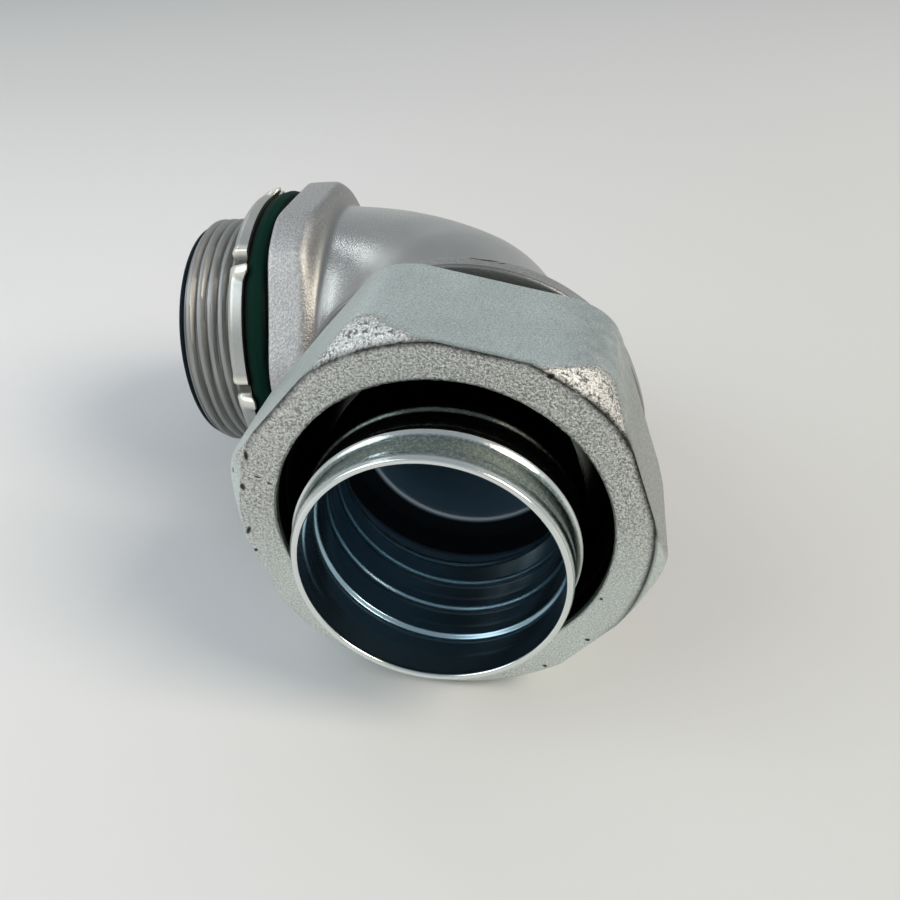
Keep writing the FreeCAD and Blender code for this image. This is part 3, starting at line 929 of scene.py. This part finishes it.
class Nodes:
    """Shorthand for building one material's node tree."""

    def __init__(self, name):
        self.material = bpy.data.materials.new(name)
        self.material.use_nodes = True
        self.tree = self.material.node_tree
        self.shader = self.tree.nodes["Principled BSDF"]
        self.place = self.tree.nodes.new("ShaderNodeTexCoord").outputs["Object"]

    def put(self, socket, value):
        if isinstance(value, bpy.types.NodeSocket):
            self.tree.links.new(value, socket)
        else:
            socket.default_value = value

    def node(self, kind, inputs=(), **settings):
        made = self.tree.nodes.new("ShaderNode" + kind)
        for key, value in settings.items():
            setattr(made, key, value)
        for key, value in dict(inputs).items():
            self.put(made.inputs[key], value)
        return made

    def noise(self, scale, detail=3.0, rough=0.55):
        inputs = {"Vector": self.place, "Scale": scale, "Detail": detail, "Roughness": rough}
        return self.node("TexNoise", inputs).outputs["Fac"]

    def mark(self, name):
        return self.node("Attribute", attribute_name=name).outputs["Fac"]

    def spot(self, centre, half, turn):
        """1 around centre, fading to 0 at the surface of an ellipsoid with these half sizes."""
        inputs = {
            "Vector": self.place,
            "Location": [c * MM for c in centre],
            "Scale": [h * MM for h in half],
            "Rotation": [math.radians(t) for t in turn],
        }
        away = self.node("Mapping", inputs, vector_type="TEXTURE").outputs["Vector"]
        ball = self.node("TexGradient", {"Vector": away}, gradient_type="SPHERICAL")
        return self.remap(ball.outputs["Fac"], 0.0, SPOT_EDGE)

    def remap(self, value, low, high, to_low=0.0, to_high=1.0):
        inputs = {"Value": value, "From Min": low, "From Max": high, "To Min": to_low, "To Max": to_high}
        return self.node("MapRange", inputs, clamp=True).outputs["Result"]

    def math(self, operation, a, b):
        return self.node("Math", {0: a, 1: b}, operation=operation).outputs["Value"]

    def times(self, a, b):
        return self.math("MULTIPLY", a, b)

    def mix(self, share, a, b):
        inputs = {"Factor": share, "A": a, "B": b}
        return self.node("Mix", inputs, data_type="RGBA").outputs["Result"]

    def bump(self, height, distance, strength=1.0, under=None):
        inputs = {"Height": height, "Distance": distance, "Strength": strength}
        if under is not None:
            inputs["Normal"] = under
        return self.node("Bump", inputs).outputs["Normal"]

    def finish(self, **values):
        for name, value in values.items():
            self.put(self.shader.inputs[name.replace("_", " ")], value)
        return self.material


def rgb(red, green, blue):
    return (red, green, blue, 1.0)


# Cast zinc: noises are scale, detail and roughness; spans are the inputs and outputs of a remap
CLOUD_NOISE = (70.0, 4.0)
CLOUD_SPAN = (0.35, 0.68)
CLOUD_FADE = 0.88
SAND_NOISE = (2500.0, 2.0, 0.65)
SAND_MARKS = (0.1, 0.5)
SAND_SHADOW_SPAN = (0.55, 0.35, 0.0, 0.8)
SAND_GLINT_SPAN = (0.48, 0.66, 0.0, 0.8)
SAND_BUMP = 0.00052
SAND_BUMP_MOST = 0.5
SAND_ROUGH_SPAN = (0.1, 0.4, 0.0, 0.10)
CHIP_NOISE = (1500.0, 3.0, 0.6)
CHIP_SPAN = (0.45, 0.39, 0.0, 0.9)
CHAMFER_MARKS = (0.6, 0.95)
CHIP_RELIEF = (1.0, 0.5)
GRIT_NOISE = (4300.0, 2.0, 0.6)
GRIT_SPAN = (0.62, 0.34)
GRIT_STRENGTH = 0.30
GRIT_BUMP = 0.00008
GRIT_BUMP_STRENGTH = 0.8
GRIT_ROUGH_SPAN = (0.3, 0.7)
GRIT_ROUGH_LESS = 0.04
GRIT_ROUGH_MORE = 0.05
MATTE_ROUGH = 0.22
GRIME_AND_SHADE_STRENGTH = 0.95
PIT_STRENGTH = 0.92
PIT_DEPTH = 0.3
CHAMFER_HIGHLIGHT = rgb(0.97, 0.98, 0.95)
CHIP_DARK = rgb(0.09, 0.09, 0.085)
SAND_GLINT = rgb(0.96, 0.96, 0.93)
SAND_SHADOW = rgb(0.20, 0.198, 0.185)
GRIT_DARK = rgb(0.24, 0.25, 0.24)
GRIME_AND_SHADE = rgb(0.007, 0.006, 0.006)
PIT_DARK = rgb(0.012, 0.011, 0.010)


def cast_zinc(name, plain, sandy, core, roughness, grain, spots):
    """Zinc-plated casting: satin where it is smooth, sandy where its mark is high, with a painted
    highlight where the mark is highest, a dark colour for soiling and painted shade where its line mark is
    set, and the core colour painted inside as shade.
    """
    n = Nodes(name)
    mark = n.mark("rough")
    inside = n.mark("inside")
    sand = n.noise(*SAND_NOISE)
    grit = n.noise(*GRIT_NOISE)
    sanded = n.remap(mark, *SAND_MARKS)
    chamfer_highlight_and_chips = n.remap(mark, *CHAMFER_MARKS)
    faded = rgb(*(c * CLOUD_FADE for c in plain[:3]))
    colour = n.mix(n.remap(n.noise(*CLOUD_NOISE), *CLOUD_SPAN), plain, faded)
    colour = n.mix(sanded, colour, sandy)
    # Painted highlight: the upper chamfers are whitened
    colour = n.mix(chamfer_highlight_and_chips, colour, CHAMFER_HIGHLIGHT)
    colour = n.mix(n.times(n.remap(sand, *SAND_GLINT_SPAN), sanded), colour, SAND_GLINT)
    colour = n.mix(n.times(n.remap(sand, *SAND_SHADOW_SPAN), sanded), colour, SAND_SHADOW)
    colour = n.mix(n.times(n.remap(n.noise(*CHIP_NOISE), *CHIP_SPAN), chamfer_highlight_and_chips), colour, CHIP_DARK)
    colour = n.mix(n.remap(grit, *GRIT_SPAN, 0.0, GRIT_STRENGTH * grain), colour, GRIT_DARK)
    # The inside mark paints the core colour as shade in the elbow's bore and the nut's cavity
    colour = n.mix(inside, colour, core)
    # The line mark paints a dark colour: soiling, the nut face's dark line, and painted shade
    colour = n.mix(n.times(n.mark("line"), GRIME_AND_SHADE_STRENGTH), colour, GRIME_AND_SHADE)
    relief = n.times(n.math("MINIMUM", mark, SAND_BUMP_MOST), n.remap(mark, *CHAMFER_MARKS, *CHIP_RELIEF))
    height = n.times(sand, relief)
    for centre, half, turn in spots:
        spot = n.spot(centre, half, turn)
        colour = n.mix(n.times(spot, PIT_STRENGTH), colour, PIT_DARK)
        height = n.math("SUBTRACT", height, n.times(spot, PIT_DEPTH))
    gritty = n.remap(grit, *GRIT_ROUGH_SPAN, roughness - GRIT_ROUGH_LESS, roughness + GRIT_ROUGH_MORE)
    rough = n.math("ADD", gritty, n.remap(mark, *SAND_ROUGH_SPAN))
    rough = n.math("ADD", rough, n.times(n.mark("matte"), MATTE_ROUGH))
    fine = n.bump(grit, GRIT_BUMP * grain, GRIT_BUMP_STRENGTH)
    normal = n.bump(height, SAND_BUMP, under=fine)
    metal = n.math("SUBTRACT", 1.0, inside)
    return n.finish(Base_Color=colour, Roughness=rough, Metallic=metal, Normal=normal,
                    Specular_IOR_Level=0.0)


# Plated steel
PATCH_NOISE = (60.0, 3.0)
PATCH_SPAN = (0.4, 0.65)
SCUFF_NOISE = (2600.0, 3.0, 0.7)
SCUFF_SPECK_SPAN = (0.47, 0.64, 0.0, 0.7)
SCUFF_ROUGH_SPAN = (0.35, 0.7, 0.0, 0.10)
SCUFF_BUMP_NOISE = (2600.0, 3.0)
SCUFF_BUMP = 0.00003
SCUFF_BUMP_STRENGTH = 0.3
INSIDE_ROUGH = 0.12
SCUFF_PALE = rgb(0.50, 0.55, 0.52)
STEEL_SHADE = rgb(0.02, 0.02, 0.018)


def bright_zinc(name, colour, tint, shade, edge, roughness):
    """Electroplated steel: faint patches and fine scuffs, with painted shade inside and where its line
    mark is set, and a painted highlight where its bright mark is set.
    """
    n = Nodes(name)
    inside = n.mark("inside")
    scuffs = n.noise(*SCUFF_NOISE)
    mixed = n.mix(n.remap(n.noise(*PATCH_NOISE), *PATCH_SPAN), colour, tint)
    mixed = n.mix(n.remap(scuffs, *SCUFF_SPECK_SPAN), mixed, SCUFF_PALE)
    mixed = n.mix(inside, mixed, shade)
    # Painted highlight where the bright mark is set
    mixed = n.mix(n.mark("bright"), mixed, edge)
    # Painted shade where the line mark is set
    mixed = n.mix(n.mark("line"), mixed, STEEL_SHADE)
    worn = n.times(n.remap(scuffs, *SCUFF_ROUGH_SPAN), n.math("SUBTRACT", 1.0, inside))
    rough = n.math("ADD", worn, n.remap(inside, 0.0, 1.0, roughness, roughness + INSIDE_ROUGH))
    strength = n.remap(inside, 0.0, 1.0, SCUFF_BUMP_STRENGTH, 0.0)
    normal = n.bump(n.noise(*SCUFF_BUMP_NOISE), SCUFF_BUMP, strength)
    return n.finish(Base_Color=mixed, Roughness=rough, Metallic=1.0, Normal=normal)


# Rubber and plastic
MOTTLE_NOISE = (350.0, 4.0)
MOTTLE_SPAN = (0.35, 0.7)
MOULD_ROUGH_NOISE = (800.0, 2.0)
MOULD_ROUGH_SPAN = (0.3, 0.7)
MOULD_ROUGH_LESS = 0.05
MOULD_ROUGH_MORE = 0.08
MOULD_BUMP_NOISE = (1700.0, 2.0)
MOULD_BUMP = 0.00004
MOULD_BUMP_STRENGTH = 0.4
MOULD_SHEEN = 0.07


def moulded(name, colour, dust_and_sheen, roughness, dust_share):
    """Rubber or plastic moulding with a faint dusty mottle, and a painted sheen where its band mark is
    set.
    """
    n = Nodes(name)
    shade = n.mix(n.remap(n.noise(*MOTTLE_NOISE), *MOTTLE_SPAN, 0.0, dust_share), colour, dust_and_sheen)
    # Painted sheen where the band mark is set
    shade = n.mix(n.mark("band"), shade, dust_and_sheen)
    rough = n.remap(n.noise(*MOULD_ROUGH_NOISE), *MOULD_ROUGH_SPAN,
                    roughness - MOULD_ROUGH_LESS, roughness + MOULD_ROUGH_MORE)
    normal = n.bump(n.noise(*MOULD_BUMP_NOISE), MOULD_BUMP, MOULD_BUMP_STRENGTH)
    return n.finish(Base_Color=shade, Roughness=rough, Normal=normal, Specular_IOR_Level=MOULD_SHEEN)


# Casting flaws in the nut and dark marks along the crease at the collar's back edge: centre, half sizes
# and turn in degrees
COLLAR_EDGE_MARKS = [
    ((44.9, -41.25, 30.35), (2.0, 0.40, 0.9), (0, 10, 4)),
    ((42.6, -41.05, 30.65), (1.1, 0.30, 0.9), (0, 7, -9)),
    ((47.0, -41.4, 29.95), (0.9, 0.26, 0.9), (0, 13, 12)),
]
NUT_PITS = [
    ((11.8, -71.0, 13.0), (0.40, 0.9, 1.05), (0, 8, 0)),
    ((8.1, -68.9, 9.0), (0.45, 0.5, 0.45), (0, 0, 0)),
    ((10.1, -71.0, 7.5), (0.50, 0.8, 0.75), (0, 0, 0)),
    ((9.3, -71.0, -0.6), (0.42, 0.9, 1.05), (0, 28, 0)),
    ((9.7, -71.0, -4.4), (0.40, 0.6, 0.40), (0, 0, 0)),
    ((56.3, -71.0, 25.6), (0.65, 0.8, 0.45), (0, 0, 0)),
    ((60.6, -71.1, -20.5), (0.50, 0.5, 0.35), (0, 0, 0)),
    ((62.7, -71.1, -12.0), (0.32, 0.5, 0.32), (0, 0, 0)),
    ((53.8, -71.1, -26.6), (0.45, 0.5, 0.35), (0, 0, 0)),
    ((12.8, -71.0, 9.3), (0.70, 0.6, 0.18), (0, 15, 0)),
    ((14.4, -71.0, 8.2), (0.50, 0.6, 0.18), (0, 35, 0)),
]

body_zinc = cast_zinc(
    "cast_zinc_body",
    plain=rgb(0.53, 0.53, 0.51),
    sandy=rgb(0.61, 0.59, 0.60),
    # core: slate blue painted in the bore as its shade
    core=rgb(0.20, 0.31, 0.41),
    roughness=0.21,
    grain=0.1,
    spots=COLLAR_EDGE_MARKS,
)
nut_zinc = cast_zinc(
    "cast_zinc_nut",
    plain=rgb(0.84, 0.94, 0.90),
    sandy=rgb(0.77, 0.785, 0.745),
    # core: nearly black, painted in the cavity as shade
    core=rgb(0.003, 0.003, 0.003),
    roughness=0.38,
    grain=1.9,
    spots=NUT_PITS,
)
ferrule_zinc = bright_zinc(
    "rolled_zinc_steel",
    # colour and tint are darkened to paint the reflection of the nut's dark cavity on the sleeve
    colour=rgb(0.17, 0.225, 0.22),
    tint=rgb(0.22, 0.25, 0.22),
    shade=rgb(0.33, 0.46, 0.53),
    # edge: painted highlight on the ridge's crest and the lip
    edge=rgb(0.74, 0.78, 0.76),
    roughness=0.13,
)
locknut_zinc = bright_zinc(
    "stamped_zinc_steel",
    colour=rgb(0.48, 0.48, 0.46),
    tint=rgb(0.66, 0.64, 0.55),
    shade=rgb(0.3, 0.3, 0.3),
    # edge: painted highlight on the tabs, burrs and notches
    edge=rgb(0.88, 0.86, 0.76),
    roughness=0.33,
)
gasket_rubber = moulded(
    "gasket_rubber",
    colour=rgb(0.0003, 0.004, 0.003),
    # The lighter green also paints the sheen round the rim
    dust_and_sheen=rgb(0.001, 0.020, 0.013),
    roughness=0.62,
    dust_share=0.3,
)
ring_plastic = moulded(
    "ring_plastic",
    colour=rgb(0.002, 0.002, 0.002),
    dust_and_sheen=rgb(0.004, 0.004, 0.004),
    roughness=0.6,
    dust_share=0.4,
)
throat_plastic = moulded(
    "throat_plastic",
    colour=rgb(0.004, 0.010, 0.016),
    dust_and_sheen=rgb(0.010, 0.020, 0.026),
    roughness=0.38,
    dust_share=0.4,
)


def coat(piece, material):
    """Give a piece its finish."""
    piece.data.materials.clear()
    piece.data.materials.append(material)


def dress(piece, material, body, slot, *nodes):
    """Give a new piece its finish and the body that it rides on."""
    coat(piece, material)
    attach(piece, body)
    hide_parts(*nodes)


dress(build_elbow(), body_zinc, "elbow", "cast_zinc_body", "elbow_body")
dress(build_nut(), nut_zinc, "nut", "cast_zinc_nut", "gland_nut")
dress(build_ferrule(), ferrule_zinc, "ferrule", "rolled_zinc_steel", "grounding_ferrule")
dress(build_locknut(), locknut_zinc, "lock", "stamped_zinc_steel", "locknut")
dress(build_gasket(), gasket_rubber, "seal", "gasket_rubber", "gasket")
dress(build_sealing_ring(), ring_plastic, "ring", "ring_plastic", "sealing_ring")
coat(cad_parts["throat_insulator"], throat_plastic)


# Stage: floor, light and camera

FLOOR_HALF = 1.9
FLOOR_CORNERS = ((-1, -1), (1, -1), (1, 1), (-1, 1))
FLOOR_FALL = 0.0635
FLOOR_AT_X = 0.0483
FLOOR_AT_Z = -0.03305
# The floor's colour paints shade: darker towards the right and the rear
FLOOR_LEFT = rgb(0.83, 0.83, 0.83)
FLOOR_RIGHT_SHADED = rgb(0.68, 0.68, 0.66)
FLOOR_RIGHT_SPAN = (-0.10, 0.14)
FLOOR_REAR_SHADED = rgb(0.70, 0.70, 0.69)
FLOOR_REAR_SPAN = (0.0, 0.40)
FLOOR_MOTTLE = rgb(0.74, 0.74, 0.74)
FLOOR_MOTTLE_NOISE = (260.0, 3.0)
FLOOR_MOTTLE_SPAN = (0.3, 0.7, 0.0, 0.12)
FLOOR_ROUGHNESS = 0.75
FLOOR_BUMP_NOISE = 900.0
FLOOR_BUMP = 0.00005
FLOOR_BUMP_STRENGTH = 0.3
WORLD_LOW = rgb(0.62, 0.645, 0.65)
WORLD_HIGH = rgb(0.34, 0.37, 0.41)
SENSOR_WIDTH = 36.0
FOCAL_LENGTH = 36.607
NEAREST = 0.01
FARTHEST = 50.0
CAMERA_PLACE = (0.064417, -0.176425, 0.081680)
CAMERA_RIGHT = (0.9840, 0.1524, -0.0884)
CAMERA_BACK = (0.1761, -0.8292, 0.5306)


def build_floor():
    """Pale floor under the nut's lower edge and the locknut, falling a little towards +X."""
    n = Nodes("floor")
    split = n.node("SeparateXYZ", {"Vector": n.place}).outputs
    # Painted shade: darker towards the right and the rear
    colour = n.mix(n.remap(split["X"], *FLOOR_RIGHT_SPAN), FLOOR_LEFT, FLOOR_RIGHT_SHADED)
    colour = n.mix(n.remap(split["Y"], *FLOOR_REAR_SPAN), colour, FLOOR_REAR_SHADED)
    colour = n.mix(n.remap(n.noise(*FLOOR_MOTTLE_NOISE), *FLOOR_MOTTLE_SPAN), colour, FLOOR_MOTTLE)
    normal = n.bump(n.noise(FLOOR_BUMP_NOISE), FLOOR_BUMP, FLOOR_BUMP_STRENGTH)
    points = []
    for side_x, side_y in FLOOR_CORNERS:
        x = side_x * FLOOR_HALF
        z = FLOOR_AT_Z - FLOOR_FALL * (x - FLOOR_AT_X)
        points.append((x, side_y * FLOOR_HALF, z))
    mesh = bpy.data.meshes.new("floor")
    mesh.from_pydata(points, [], [(0, 1, 2, 3)])
    mesh.materials.append(n.finish(Base_Color=colour, Roughness=FLOOR_ROUGHNESS, Normal=normal))
    floor = bpy.data.objects.new("floor", mesh)
    bpy.context.scene.collection.objects.link(floor)


def area_light(name, place, target, size, power, colour):
    """Rectangular light at place, facing target."""
    lamp = bpy.data.lights.new(name, "AREA")
    lamp.shape = "RECTANGLE"
    lamp.size, lamp.size_y = size
    lamp.energy = power
    lamp.color = colour
    holder = bpy.data.objects.new(name, lamp)
    holder.location = place
    aim = Vector(target) - Vector(place)
    holder.rotation_euler = aim.to_track_quat("-Z", "Y").to_euler()
    bpy.context.scene.collection.objects.link(holder)


def build_world():
    """Grey room, paler at the horizon and below it than overhead."""
    world = bpy.data.worlds.new("studio")
    world.use_nodes = True
    tree = world.node_tree
    place = tree.nodes.new("ShaderNodeTexCoord")
    split = tree.nodes.new("ShaderNodeSeparateXYZ")
    ramp = tree.nodes.new("ShaderNodeMapRange")
    blend = tree.nodes.new("ShaderNodeMix")
    blend.data_type = "RGBA"
    blend.inputs["A"].default_value = WORLD_LOW
    blend.inputs["B"].default_value = WORLD_HIGH
    tree.links.new(place.outputs["Generated"], split.inputs["Vector"])
    tree.links.new(split.outputs["Z"], ramp.inputs["Value"])
    tree.links.new(ramp.outputs["Result"], blend.inputs["Factor"])
    tree.links.new(blend.outputs["Result"], tree.nodes["Background"].inputs["Color"])
    bpy.context.scene.world = world


def build_camera():
    """Camera fitted to the photo's view."""
    lens = bpy.data.cameras.new("camera")
    lens.sensor_width = SENSOR_WIDTH
    lens.lens = FOCAL_LENGTH
    lens.clip_start = NEAREST
    lens.clip_end = FARTHEST
    back = Vector(CAMERA_BACK).normalized()
    up = back.cross(Vector(CAMERA_RIGHT).normalized()).normalized()
    right = up.cross(back).normalized()
    camera = bpy.data.objects.new("camera", lens)
    camera.matrix_world = Matrix((*zip(right, up, back, CAMERA_PLACE), (0, 0, 0, 1)))
    bpy.context.scene.collection.objects.link(camera)
    bpy.context.scene.camera = camera


build_floor()
build_world()
area_light(
    "window",
    place=(-0.66, -0.38, 0.70),
    target=(0.02, -0.05, 0.0),
    size=(0.85, 0.60),
    power=3.5,
    colour=(0.90, 0.96, 1.0),
)
area_light(
    "skylight",
    place=(-0.52, 0.49, 0.70),
    target=(0.02, -0.03, 0.0),
    size=(0.07, 0.28),
    power=0.26,
    colour=(0.92, 0.96, 1.0),
)
area_light(
    "lamp",
    place=(1.58, -0.50, 1.16),
    target=(0.04, -0.05, 0.0),
    size=(0.92, 0.92),
    power=24.5,
    colour=(1.0, 0.90, 0.77),
)
build_camera()
bpy.context.scene.view_settings.view_transform = "Standard"
